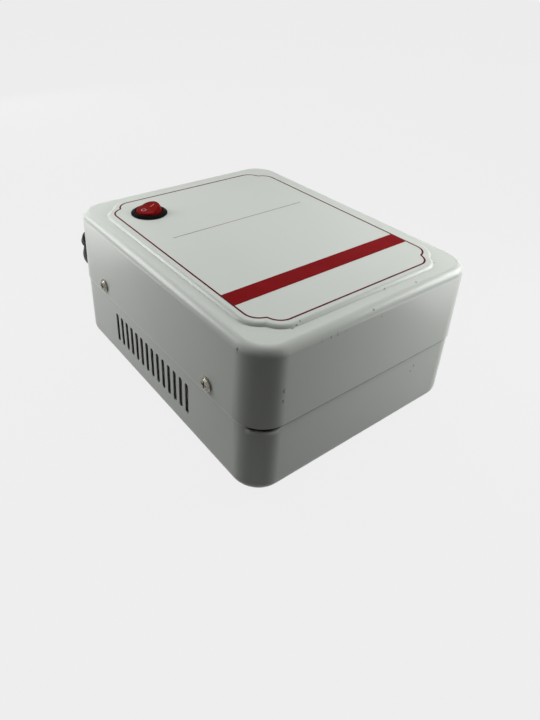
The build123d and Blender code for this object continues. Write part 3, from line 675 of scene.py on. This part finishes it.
@dataclass
class Finishes:
    """Every finish of the object, by name, which is the record's slot where that has one."""

    toroid: Sequence[float]
    screw_recess: Sequence[float] = (81.85 * MM, 59.3 * MM, 55.3 * MM)
    made: dict[str, bpy.types.Material] = field(default_factory=dict)

    def build(self) -> None:
        """Make all the materials."""
        nickel, worn = srgb(214, 212, 206), srgb(170, 165, 152)
        kinds = (
            Enamel(),
            # the case screws' cross recesses get painted shade
            Metal("bright_steel", srgb(132, 129, 119), srgb(88, 84, 74), 0.11,
                  recess=self.screw_recess),
            Moulding("foot_rubber", srgb(34, 34, 35), 0.75, dust=0.45),
            Moulding("switch_black", srgb(14, 14, 15), 0.36, depth=0.001 * MM, ior=1.07),
            Lens("switch_red", srgb(118, 12, 12), srgb(130, 15, 14)),
            Metal("contact_brass", srgb(220, 184, 110), srgb(165, 122, 66), 0.28),
            Moulding("socket_black", srgb(30, 30, 32), 0.42),
            Moulding("breaker_black", srgb(34, 34, 34), 0.4),
            Moulding("button_white", srgb(226, 224, 214), 0.34),
            Moulding("cord_black", srgb(17, 17, 18), 0.46, grain=0.5 * MM, ior=1.3),
            Moulding("nylon_black", srgb(16, 16, 17), 0.5, ior=1.3),
            Moulding("plug_black", srgb(27, 27, 28), 0.48, grain=0.6 * MM, depth=0.012 * MM),
            Metal("plug_metal", nickel, worn, 0.11),
            Tape("winding_tape", srgb(206, 152, 52), srgb(128, 82, 26), self.toroid),
            Metal("core_steel", srgb(110, 112, 118), srgb(82, 70, 62), 0.4),
            Moulding("block_white", srgb(222, 218, 206), 0.4),
            Ink("print_red", srgb(126, 14, 20)),
            Ink("line_red", srgb(94, 34, 38)),
            Ink("rule_red", srgb(122, 88, 84)),
            Ink("mark_pale", srgb(206, 128, 132)),
        )
        for kind in kinds:
            self.made[kind.name] = kind.build()

    def wear(self, thing: bpy.types.Object, slot: str) -> None:
        """Give a piece one finish all over."""
        thing.data.materials.clear()
        thing.data.materials.append(self.made[slot])


@dataclass
class Workshop:
    """What the sub-assemblies share: the frame, the finishes and the list of pieces."""

    frame: dict
    finishes: Finishes
    pieces: list[bpy.types.Object] = field(default_factory=list)
    weld: float = 0.0002 * MM
    flat: float = math.radians(0.05)
    edge_segments: int = 2

    def slot_of(self, node: str) -> str:
        """The record's material slot of a CAD node."""
        return next(s["material_slot"] for s in self.frame["record"]["subparts"]
                    if s["node"] == node)

    def dress(self, *nodes: str) -> None:
        """Give CAD nodes that stay as they are the finish of their own slot."""
        for node in nodes:
            self.finishes.wear(self.frame["nodes"][node], self.slot_of(node))

    def enter(self, thing: bpy.types.Object, slot: str, body: Body, *nodes: str) -> bpy.types.Object:
        """Enter a finished piece.

        Args:
            thing: the piece.
            slot: name of its finish.
            body: what it rides on.
            *nodes: the CAD nodes that it replaces.

        Returns:
            The piece.
        """
        if thing.name not in bpy.context.scene.collection.objects:
            bpy.context.scene.collection.objects.link(thing)
        self.finishes.wear(thing, slot)
        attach(thing, body.value)
        if nodes:
            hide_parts(*nodes)
        self.pieces.append(thing)
        return thing

    def from_bmesh(self, shape: bmesh.types.BMesh, name: str, crease: float = 35.0) -> bpy.types.Object:
        """Turn a bmesh into a piece with smooth faces between its sharp edges.

        Args:
            shape: the mesh, which is freed.
            name: name of the piece.
            crease: angle from which an edge is sharp, in degrees.

        Returns:
            The object, not yet linked to the scene.
        """
        mesh = bpy.data.meshes.new(name)
        shape.to_mesh(mesh)
        shape.free()
        mesh.shade_smooth()
        mesh.set_sharp_from_angle(angle=math.radians(crease))
        return bpy.data.objects.new(name, mesh)

    def merged(self, node: str) -> bmesh.types.BMesh:
        """A copy of a CAD node's mesh, as one skin with its flat faces whole.

        Args:
            node: name of the CAD node.

        Returns:
            The copy.
        """
        shape = bmesh.new()
        shape.from_mesh(self.frame["nodes"][node].data)
        bmesh.ops.remove_doubles(shape, verts=shape.verts, dist=self.weld)
        bmesh.ops.dissolve_limit(shape, angle_limit=self.flat, verts=shape.verts,
                                 edges=shape.edges, use_dissolve_boundaries=False)
        return shape

    def softened(self, node: str, body: Body, edge: float = 0.0, crease: float = 30.0,
                 shaped: Optional[Callable[[bmesh.types.BMesh], None]] = None) -> bpy.types.Object:
        """Replace a CAD node by its own shape with smooth curves and broken edges.

        Args:
            node: name of the CAD node.
            body: what the piece rides on.
            edge: width of the bevel on its sharp edges, or zero for none.
            crease: angle from which an edge is sharp, in degrees.
            shaped: what is done to the mesh first.

        Returns:
            The piece.
        """
        shape = self.merged(node)
        if shaped is not None:
            shaped(shape)
        thing = self.from_bmesh(shape, f"{node}_skin", crease)
        if edge:
            rounded = thing.modifiers.new("edge", "BEVEL")
            rounded.width = edge
            rounded.segments = self.edge_segments
            rounded.limit_method = "ANGLE"
            rounded.angle_limit = math.radians(crease)
            rounded.harden_normals = False
        level = thing.modifiers.new("level", "WEIGHTED_NORMAL")
        level.keep_sharp = True
        level.mode = "FACE_AREA_WITH_ANGLE"
        return self.enter(thing, self.slot_of(node), body, node)


@dataclass(frozen=True)
class SoftBox:
    """One lamp: its place, what it points at, its size and power in watts.

    One that isn't mirrored lights the object without showing in its reflections.
    """

    name: str
    place: Sequence[float]
    aim: Sequence[float]
    size: Sequence[float]
    power: float
    mirrored: bool = True

    def build(self) -> None:
        """Set the lamp up, out of the camera's sight."""
        data = bpy.data.lights.new(self.name, "AREA")
        data.shape = "RECTANGLE"
        data.size, data.size_y = self.size
        data.energy = self.power
        thing = bpy.data.objects.new(self.name, data)
        thing.location = self.place
        thing.visible_camera = False
        thing.visible_glossy = self.mirrored
        way = Vector(self.aim) - Vector(self.place)
        thing.rotation_euler = way.to_track_quat("-Z", "Y").to_euler()
        bpy.context.scene.collection.objects.link(thing)


@dataclass
class Studio:
    """Camera, lamps, floor and backdrop.

    The focal length, the optical axis and the picture's size are in the photograph's pixels.
    """

    position: Sequence[float] = (-0.21134, -0.25496, 0.25516)
    look: Sequence[float] = (0.5214, 0.6897, -0.5024)
    roll: float = math.radians(1.69)
    focal: float = 591.86
    optical_axis: Sequence[float] = (235.33, 278.26)
    picture: Sequence[float] = (540.0, 720.0)
    film: float = 36.0
    ground: float = 3.0
    background: Colour = srgb(239, 239, 239)
    near: float = 10 * MM
    paper: Colour = (0.12, 0.12, 0.115)
    paper_rough: float = 0.9
    paper_shine: float = 0.1
    evenness: float = 0.97
    lamps: Sequence[SoftBox] = (
        SoftBox("top_box", (0.1, 0.35, 1.1), (0.0, 0.0, 0.08), (1.8, 1.8), 9.11),
        SoftBox("left_box", (-0.22, 0.22, 0.22), (-0.06, 0.02, 0.05), (0.16, 0.16), 0.533),
        SoftBox("left_card", (-0.23, 0.3, 0.002), (-0.23, 0.3, 1.0), (0.16, 0.24), 0.342),
        SoftBox("right_box", (0.27, -0.18, 0.2), (0.05, -0.08, 0.06), (0.16, 0.16), 0.687),
        SoftBox("right_fill", (0.27, -0.18, 0.2), (0.05, -0.08, 0.06), (0.16, 0.16), 0.28,
                mirrored=False),
        SoftBox("right_card", (0.23, -0.26, 0.002), (0.23, -0.26, 1.0), (0.16, 0.18), 0.282),
        SoftBox("rear_box", (0.0, 0.8, 0.2), (0.0, 0.1, 0.06), (0.5, 0.3), 1.5, mirrored=False),
    )

    def camera(self) -> None:
        """Set up the camera at the photograph's viewpoint."""
        data = bpy.data.cameras.new("camera")
        thing = bpy.data.objects.new("camera", data)
        bpy.context.scene.collection.objects.link(thing)
        ahead = Vector(self.look).normalized()
        side = ahead.cross(Vector((0, 0, 1))).normalized()
        top = side.cross(ahead)
        side, top = (side * math.cos(self.roll) + top * math.sin(self.roll),
                     top * math.cos(self.roll) - side * math.sin(self.roll))
        turn = Matrix((side, top, -ahead)).transposed()
        thing.matrix_world = Matrix.Translation(self.position) @ turn.to_4x4()
        width, height = self.picture
        data.sensor_width = self.film
        data.lens = self.focal * self.film / height
        data.shift_x = (width / 2 - self.optical_axis[0]) / height
        data.shift_y = (self.optical_axis[1] - height / 2) / height
        data.clip_start = self.near
        bpy.context.scene.camera = thing

    def floor(self) -> None:
        """Lay the floor, which shows the background colour and keeps the object's shadow."""
        shape = flat_plate(2 * self.ground, 2 * self.ground)
        mesh = bpy.data.meshes.new("floor")
        shape.to_mesh(mesh)
        shape.free()
        thing = bpy.data.objects.new("floor", mesh)
        bpy.context.scene.collection.objects.link(thing)
        recipe = Recipe("floor_paper")
        rays = recipe.node("ShaderNodeLightPath")
        seen = recipe.work_out(Maths.MAXIMUM, rays.outputs["Is Transmission Ray"],
                               recipe.work_out(Maths.MAXIMUM, rays.outputs["Is Camera Ray"],
                                               rays.outputs["Is Glossy Ray"]))
        recipe.sheen(Base_Color=recipe.mix(seen, self.paper, self.background),
                     Roughness=self.paper_rough, Specular_IOR_Level=self.paper_shine)
        glow = recipe.node("ShaderNodeEmission")
        glow.inputs["Color"].default_value = with_alpha(self.background)
        share = recipe.node("ShaderNodeMixShader")
        recipe.feed(share.inputs[0], recipe.work_out(Maths.MULTIPLY, seen, self.evenness))
        recipe.feed(share.inputs[1], recipe.shader.outputs[0])
        recipe.feed(share.inputs[2], glow.outputs[0])
        recipe.feed(recipe.tree.nodes["Material Output"].inputs["Surface"], share.outputs[0])
        mesh.materials.append(recipe.material)

    def world(self) -> None:
        """Show the pale background behind everything, and in what reflects."""
        world = bpy.data.worlds.new("studio")
        world.use_nodes = True
        bpy.context.scene.world = world
        tree = world.node_tree
        shown = tree.nodes["Background"]
        shown.inputs["Color"].default_value = with_alpha(self.background)
        rays = tree.nodes.new("ShaderNodeLightPath")
        seen = rays.outputs["Is Camera Ray"]
        for kind in ("Is Glossy Ray", "Is Transmission Ray"):
            either = tree.nodes.new("ShaderNodeMath")
            either.operation = "MAXIMUM"
            tree.links.new(seen, either.inputs[0])
            tree.links.new(rays.outputs[kind], either.inputs[1])
            seen = either.outputs[0]
        tree.links.new(seen, shown.inputs["Strength"])

    def build(self) -> None:
        """Set everything up."""
        bpy.context.scene.view_settings.view_transform = "Standard"
        self.camera()
        self.floor()
        self.world()
        for box in self.lamps:
            box.build()


@dataclass
class Shells:
    """The drawn cover and tray, and what is printed on the raised panel."""

    shop: Workshop
    panel_edge: float = 3.6 * MM
    line: float = 1.1 * MM
    lift: float = 0.03 * MM
    band_y: Sequence[float] = (-60.1 * MM, -48.3 * MM)
    rule: Sequence[float] = (101.0 * MM, 0.45 * MM)
    rule_y: float = 20.4 * MM
    step_round: float = 0.9 * MM
    step_segments: int = 4
    step_angles: Sequence[float] = (math.radians(20), math.radians(70))
    level_normal: float = 0.99
    level_slack: float = 0.05 * MM
    switch_clear_share: float = 0.7

    def height(self) -> float:
        """Height of the raised panel's flat top."""
        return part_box("top_cover")[1].z

    def on_top(self, shape: bmesh.types.BMesh) -> set[bmesh.types.BMFace]:
        """Find the faces of the raised panel's flat top.

        Args:
            shape: the cover.

        Returns:
            Its faces on top.
        """
        top = self.height()
        return {f for f in shape.faces if f.normal.z > self.level_normal
                and abs(f.calc_center_median().z - top) < self.level_slack}

    def keep_only(self, shape: bmesh.types.BMesh, keep: set[bmesh.types.BMFace]) -> None:
        """Delete every face that isn't among those to keep."""
        bmesh.ops.delete(shape, geom=[f for f in shape.faces if f not in keep], context="FACES")

    def inset(self, shape: bmesh.types.BMesh, faces: Sequence[bmesh.types.BMFace],
              width: float) -> tuple[list[bmesh.types.BMFace], list[bmesh.types.BMFace]]:
        """Draw a border of one width along the edge of a flat sheet.

        Args:
            shape: the mesh.
            faces: the sheet's faces.
            width: width of the border.

        Returns:
            The faces inside the border, and those of the border.
        """
        border = bmesh.ops.inset_region(shape, faces=faces, thickness=width, use_boundary=True,
                                        use_even_offset=True)["faces"]
        return [f for f in faces if f.is_valid], border

    def panel_face(self) -> bmesh.types.BMesh:
        """Cut the flat top of the raised panel out of the cover.

        Returns:
            The flat top as one sheet.
        """
        shape = self.shop.merged("top_cover")
        self.keep_only(shape, self.on_top(shape))
        return shape

    def rounded_step(self, shape: bmesh.types.BMesh) -> None:
        """Round the upper edge of the raised panel's step.

        Args:
            shape: the cover.
        """
        top = self.on_top(shape)
        least, most = self.step_angles
        rim = [e for e in shape.edges
               if len(set(e.link_faces) & top) == 1 and least < e.calc_face_angle(0.0) < most]
        bmesh.ops.bevel(shape, geom=rim, offset=self.step_round, segments=self.step_segments,
                        profile=0.5, affect="EDGES", material=-1, clamp_overlap=False)

    def printed(self, shape: bmesh.types.BMesh, name: str, ink: str = "print_red") -> None:
        """Lift a sheet of ink off the panel and enter it.

        Args:
            shape: the sheet.
            name: name of the piece.
            ink: name of its finish.
        """
        bmesh.ops.translate(shape, vec=(0, 0, self.lift), verts=shape.verts)
        bmesh.ops.recalc_face_normals(shape, faces=shape.faces)
        self.shop.enter(self.shop.from_bmesh(shape, name), ink, Body.CASE)

    def outline(self) -> None:
        """Print the line that follows the panel's edge, with a gap round the switch."""
        shape = self.panel_face()
        inner, _ = self.inset(shape, list(shape.faces), self.panel_edge - self.line / 2)
        _, ring = self.inset(shape, inner, self.line)
        low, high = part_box("switch_housing")
        middle, reach = (low + high) / 2, (high.x - low.x) * self.switch_clear_share
        keep = {f for f in ring if (f.calc_center_median().xy - middle.xy).length > reach}
        self.keep_only(shape, keep)
        self.printed(shape, "print_line", "line_red")

    def band(self) -> None:
        """Print the band across the panel, between the two sides of the line."""
        shape = self.panel_face()
        inner, _ = self.inset(shape, list(shape.faces), self.panel_edge + self.line / 2)
        self.keep_only(shape, set(inner))
        for y, way in zip(self.band_y, (-1, 1)):
            bmesh.ops.bisect_plane(shape, geom=shape.verts[:] + shape.edges[:] + shape.faces[:],
                                   plane_co=(0, y, 0), plane_no=(0, way, 0), clear_outer=True)
        self.printed(shape, "print_band")

    def header_rule(self) -> None:
        """Print the thin rule across the panel."""
        shape = flat_plate(*self.rule)
        bmesh.ops.translate(shape, vec=(0, self.rule_y, self.height()), verts=shape.verts)
        self.printed(shape, "print_rule", "rule_red")

    def build(self) -> None:
        """Build the shells and the print."""
        self.shop.softened("top_cover", Body.CASE, shaped=self.rounded_step)
        self.shop.softened("bottom_tray", Body.CASE)
        self.outline()
        self.band()
        self.header_rule()


@dataclass
class Switch:
    """The round power switch: bezel, rocker and its two marks."""

    shop: Workshop
    pivot: Sequence[float] = (-44.2 * MM, 60.8 * MM, 97.7 * MM)
    tilt: float = math.radians(14.5)
    wing: float = math.radians(10.5)
    valley: float = 3.0 * MM
    edge: float = 0.2 * MM
    rocker_crease: float = 18.0
    ring_radius: float = 1.75 * MM
    ring_width: float = 0.55 * MM
    ring_segments: int = 48
    ring_reach: float = 3.1 * MM
    bar: Sequence[float] = (3.1 * MM, 0.55 * MM)
    bar_reach: float = 3.5 * MM
    mark_depth: float = 0.1 * MM
    mark_sunk: float = 0.04 * MM

    def mark(self, shape: bmesh.types.BMesh, name: str, reach: float) -> None:
        """Raise a flat mark and set it on one wing of the rocker.

        Args:
            shape: the flat mark about the origin.
            name: name of the piece.
            reach: its place from the pivot, negative on the left wing.
        """
        bmesh.ops.recalc_face_normals(shape, faces=shape.faces)
        bmesh.ops.solidify(shape, geom=shape.faces[:], thickness=self.mark_depth)
        bmesh.ops.recalc_face_normals(shape, faces=shape.faces)
        sunk = min(v.co.z for v in shape.verts) + self.mark_sunk
        height = self.valley + abs(reach) * math.tan(self.wing)
        place = (Matrix.Translation(self.pivot) @ Matrix.Rotation(-self.tilt, 4, "Y")
                 @ Matrix.Translation((reach, 0, height))
                 @ Matrix.Rotation(-math.copysign(self.wing, reach), 4, "Y")
                 @ Matrix.Translation((0, 0, -sunk)))
        bmesh.ops.transform(shape, matrix=place, verts=shape.verts)
        self.shop.enter(self.shop.from_bmesh(shape, name), "mark_pale", Body.ROCKER)

    def off_ring(self) -> None:
        """Set the ring that marks the OFF side."""
        shape = bmesh.new()
        bmesh.ops.create_circle(shape, cap_ends=True, segments=self.ring_segments,
                                radius=self.ring_radius)
        inner = list(shape.faces)
        bmesh.ops.inset_region(shape, faces=inner, thickness=self.ring_width, use_boundary=True)
        bmesh.ops.delete(shape, geom=inner, context="FACES")
        self.mark(shape, "mark_off", -self.ring_reach)

    def on_bar(self) -> None:
        """Set the bar that marks the ON side."""
        self.mark(flat_plate(*self.bar), "mark_on", self.bar_reach)

    def build(self) -> None:
        """Build the switch."""
        self.shop.softened("switch_housing", Body.CASE, edge=self.edge)
        self.shop.softened("rocker", Body.ROCKER, crease=self.rocker_crease)
        self.off_ring()
        self.on_bar()
        self.shop.dress("switch_tabs")


@dataclass
class Fasteners:
    """Case screws, feet and their hardware."""

    shop: Workshop
    edge: float = 0.18 * MM

    def build(self) -> None:
        """Build the fasteners."""
        self.shop.softened("case_screws", Body.CASE, edge=self.edge)
        self.shop.softened("feet", Body.CASE)
        self.shop.dress("case_nuts", "foot_screws", "foot_nuts")


@dataclass
class RearPanel:
    """Sockets, overload breaker and strain relief on the rear wall."""

    shop: Workshop
    edge: float = 0.15 * MM
    relief_edge: float = 0.2 * MM

    def build(self) -> None:
        """Build the rear fittings."""
        for node in ("socket_1", "socket_2", "breaker_body", "breaker_nut"):
            self.shop.softened(node, Body.CASE, edge=self.edge)
        self.shop.softened("breaker_button", Body.BUTTON)
        self.shop.softened("strain_relief", Body.CASE, edge=self.relief_edge)
        self.shop.dress("socket_1_contacts", "socket_2_contacts", "breaker_tabs", "relief_nut")


@dataclass
class MainsLead:
    """The lead on one smooth line: out of the relief, round the coil and into the plug.

    Its route and its coil are in millimetres. The coil's layers are counted in quarter turns.
    """

    shop: Workshop
    radius: float = 4.25 * MM
    start: Sequence[Sequence[float]] = (
        (-52.1, 146.22, 43.1), (-52.1, 151.62, 33.75), (-50.1, 159.1, 24.2), (-44.1, 170.1, 13.4),
        (-38.6, 185.1, 6.4), (-27.9, 205.33, 4.25),
    )
    end: Sequence[Sequence[float]] = (
        (74.61, 225.48, 13.35), (90.0, 214.6, 12.3), (102.0, 201.0, 12.3), (109.0, 186.0, 14.8),
        (111.0, 172.0, 18.5), (111.0, 158.0, 18.5),
    )
    centre: Sequence[float] = (30.0, 188.0)
    coil_radius: float = 58.0
    start_angle: float = 147.0
    layer: int = 6
    climb: int = 2
    back: int = 5
    gap: float = 0.6
    steps: int = 4
    length: float = 1.207
    roundness: int = 6
    smoothness: int = 12
    plug_edge: float = 0.3 * MM

    def coil(self) -> list[tuple[float, float, float]]:
        """Work out the coil: in on the table, up a layer, and out on top.

        Returns:
            Its control points, in millimetres.
        """
        radius_mm = self.radius / MM
        rise = 2 * radius_mm + self.gap
        reversal = self.layer + self.climb / 2
        quarters = self.layer + self.climb + self.back
        # the smooth line runs a little inside its control points, so these stand out by as much
        inside = math.sqrt(math.cos(math.pi / QUARTERS / self.steps))
        places = []
        for k in range(quarters * self.steps + 1):
            turn = k / self.steps
            share = min(max(turn - self.layer, 0), self.climb) / self.climb
            reach = self.coil_radius - (reversal - abs(turn - reversal)) * rise / QUARTERS
            angle = math.radians(self.start_angle - 360 / QUARTERS * turn)
            places.append((self.centre[0] + reach / inside * math.cos(angle),
                           self.centre[1] + reach / inside * math.sin(angle),
                           radius_mm + rise * share * share * (3 - 2 * share)))
        return places

    def build(self) -> None:
        """Lay the lead and dress the plug."""
        data = bpy.data.curves.new("mains_lead", "CURVE")
        data.dimensions = "3D"
        data.bevel_depth = self.radius
        data.bevel_resolution = self.roundness
        data.resolution_u = self.smoothness
        data.use_fill_caps = True
        spline = data.splines.new("NURBS")
        route = [*self.start, *self.coil(), *self.end]
        spline.points.add(len(route) - 1)
        for point, place in zip(spline.points, route):
            point.co = (*(c * MM for c in place), 1.0)
        spline.order_u = 3
        spline.use_endpoint_u = True
        lead = bpy.data.objects.new("mains_lead", data)
        self.shop.enter(lead, "cord_black", Body.CASE, "cord_lead", "cord_coil", "cord_tail")
        plug = self.shop.softened("plug_body", Body.CASE, edge=self.plug_edge)
        pins = self.shop.softened("plug_pins", Body.CASE)
        self.shop.dress("plug_clips")


@dataclass
class Inside:
    """What the closed case holds."""

    shop: Workshop

    def build(self) -> None:
        """Dress the transformer, its clamp, the terminal block and the earth stud."""
        self.shop.softened("transformer_winding", Body.CASE)
        self.shop.dress("transformer_core", "lower_pad", "upper_pad", "clamp_washer", "clamp_bolt",
                        "clamp_nut", "terminal_block", "terminal_straps", "terminal_screws",
                        "earth_stud", "earth_tag", "earth_nut")


def main() -> None:
    """Build the object, piece by piece, around the frame."""
    logging.basicConfig(level=logging.INFO, format="%(name)s: %(message)s")
    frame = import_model()
    Studio().build()
    low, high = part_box("transformer_winding")
    finishes = Finishes(toroid=tuple((low + high) / 2))
    finishes.build()
    shop = Workshop(frame, finishes)
    for part in (Shells(shop), Switch(shop), Fasteners(shop), RearPanel(shop), MainsLead(shop),
                 Inside(shop)):
        part.build()
        LOG.info("built %s", type(part).__name__)
    for piece in shop.pieces:
        LOG.info("piece %s", piece.name)


if __name__ == "__main__":
    main()
